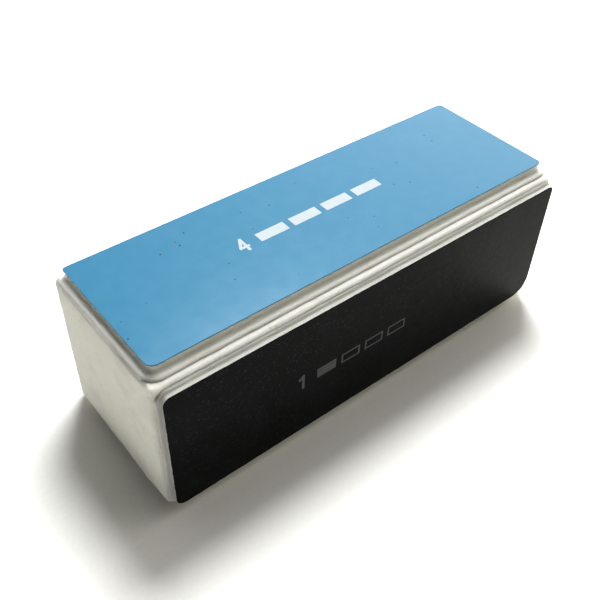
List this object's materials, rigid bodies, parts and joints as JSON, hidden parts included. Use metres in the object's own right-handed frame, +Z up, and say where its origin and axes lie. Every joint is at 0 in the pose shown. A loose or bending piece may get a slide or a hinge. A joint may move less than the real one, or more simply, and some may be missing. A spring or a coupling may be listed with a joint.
{
  "type": "nail buffer block",
  "caption": "Nail buffer block: a soft foam bar with a cushioned file, buffing, smoothing or polishing pad bonded to each long face.",
  "frame": {"origin": "middle of the bottom of the whole block, on the surface it lies on", "axes": "+X along the block's length, +Z up out of the polishing film, -Y out of the coarse file sheet"},
  "size_m": [0.08, 0.03, 0.0292],
  "materials": {
    "core_foam": "matte",
    "cushion_foam": "matte",
    "bond_tape": "satin",
    "glue_film": "satin",
    "file_grit": "matte",
    "buff_grit": "matte",
    "smooth_grit": "matte",
    "polish_film": "satin",
    "white_ink": "matte",
    "grey_ink": "matte",
    "black_ink": "matte"
  },
  "bodies": {
    "root": {"foam_core": "core_foam", "file_bond_tape": "bond_tape", "file_cushion": "cushion_foam", "file_glue_film": "glue_film", "file_abrasive_sheet": "file_grit", "file_step_mark": "grey_ink", "buff_bond_tape": "bond_tape", "buff_cushion": "cushion_foam", "buff_glue_film": "glue_film", "buff_abrasive_sheet": "buff_grit", "buff_step_mark": "black_ink", "smooth_bond_tape": "bond_tape", "smooth_cushion": "cushion_foam", "smooth_glue_film": "glue_film", "smooth_abrasive_sheet": "smooth_grit", "smooth_step_mark": "black_ink", "polish_bond_tape": "bond_tape", "polish_cushion": "cushion_foam", "polish_glue_film": "glue_film", "polish_film": "polish_film", "polish_step_mark": "white_ink"}
  },
  "joints": []
}
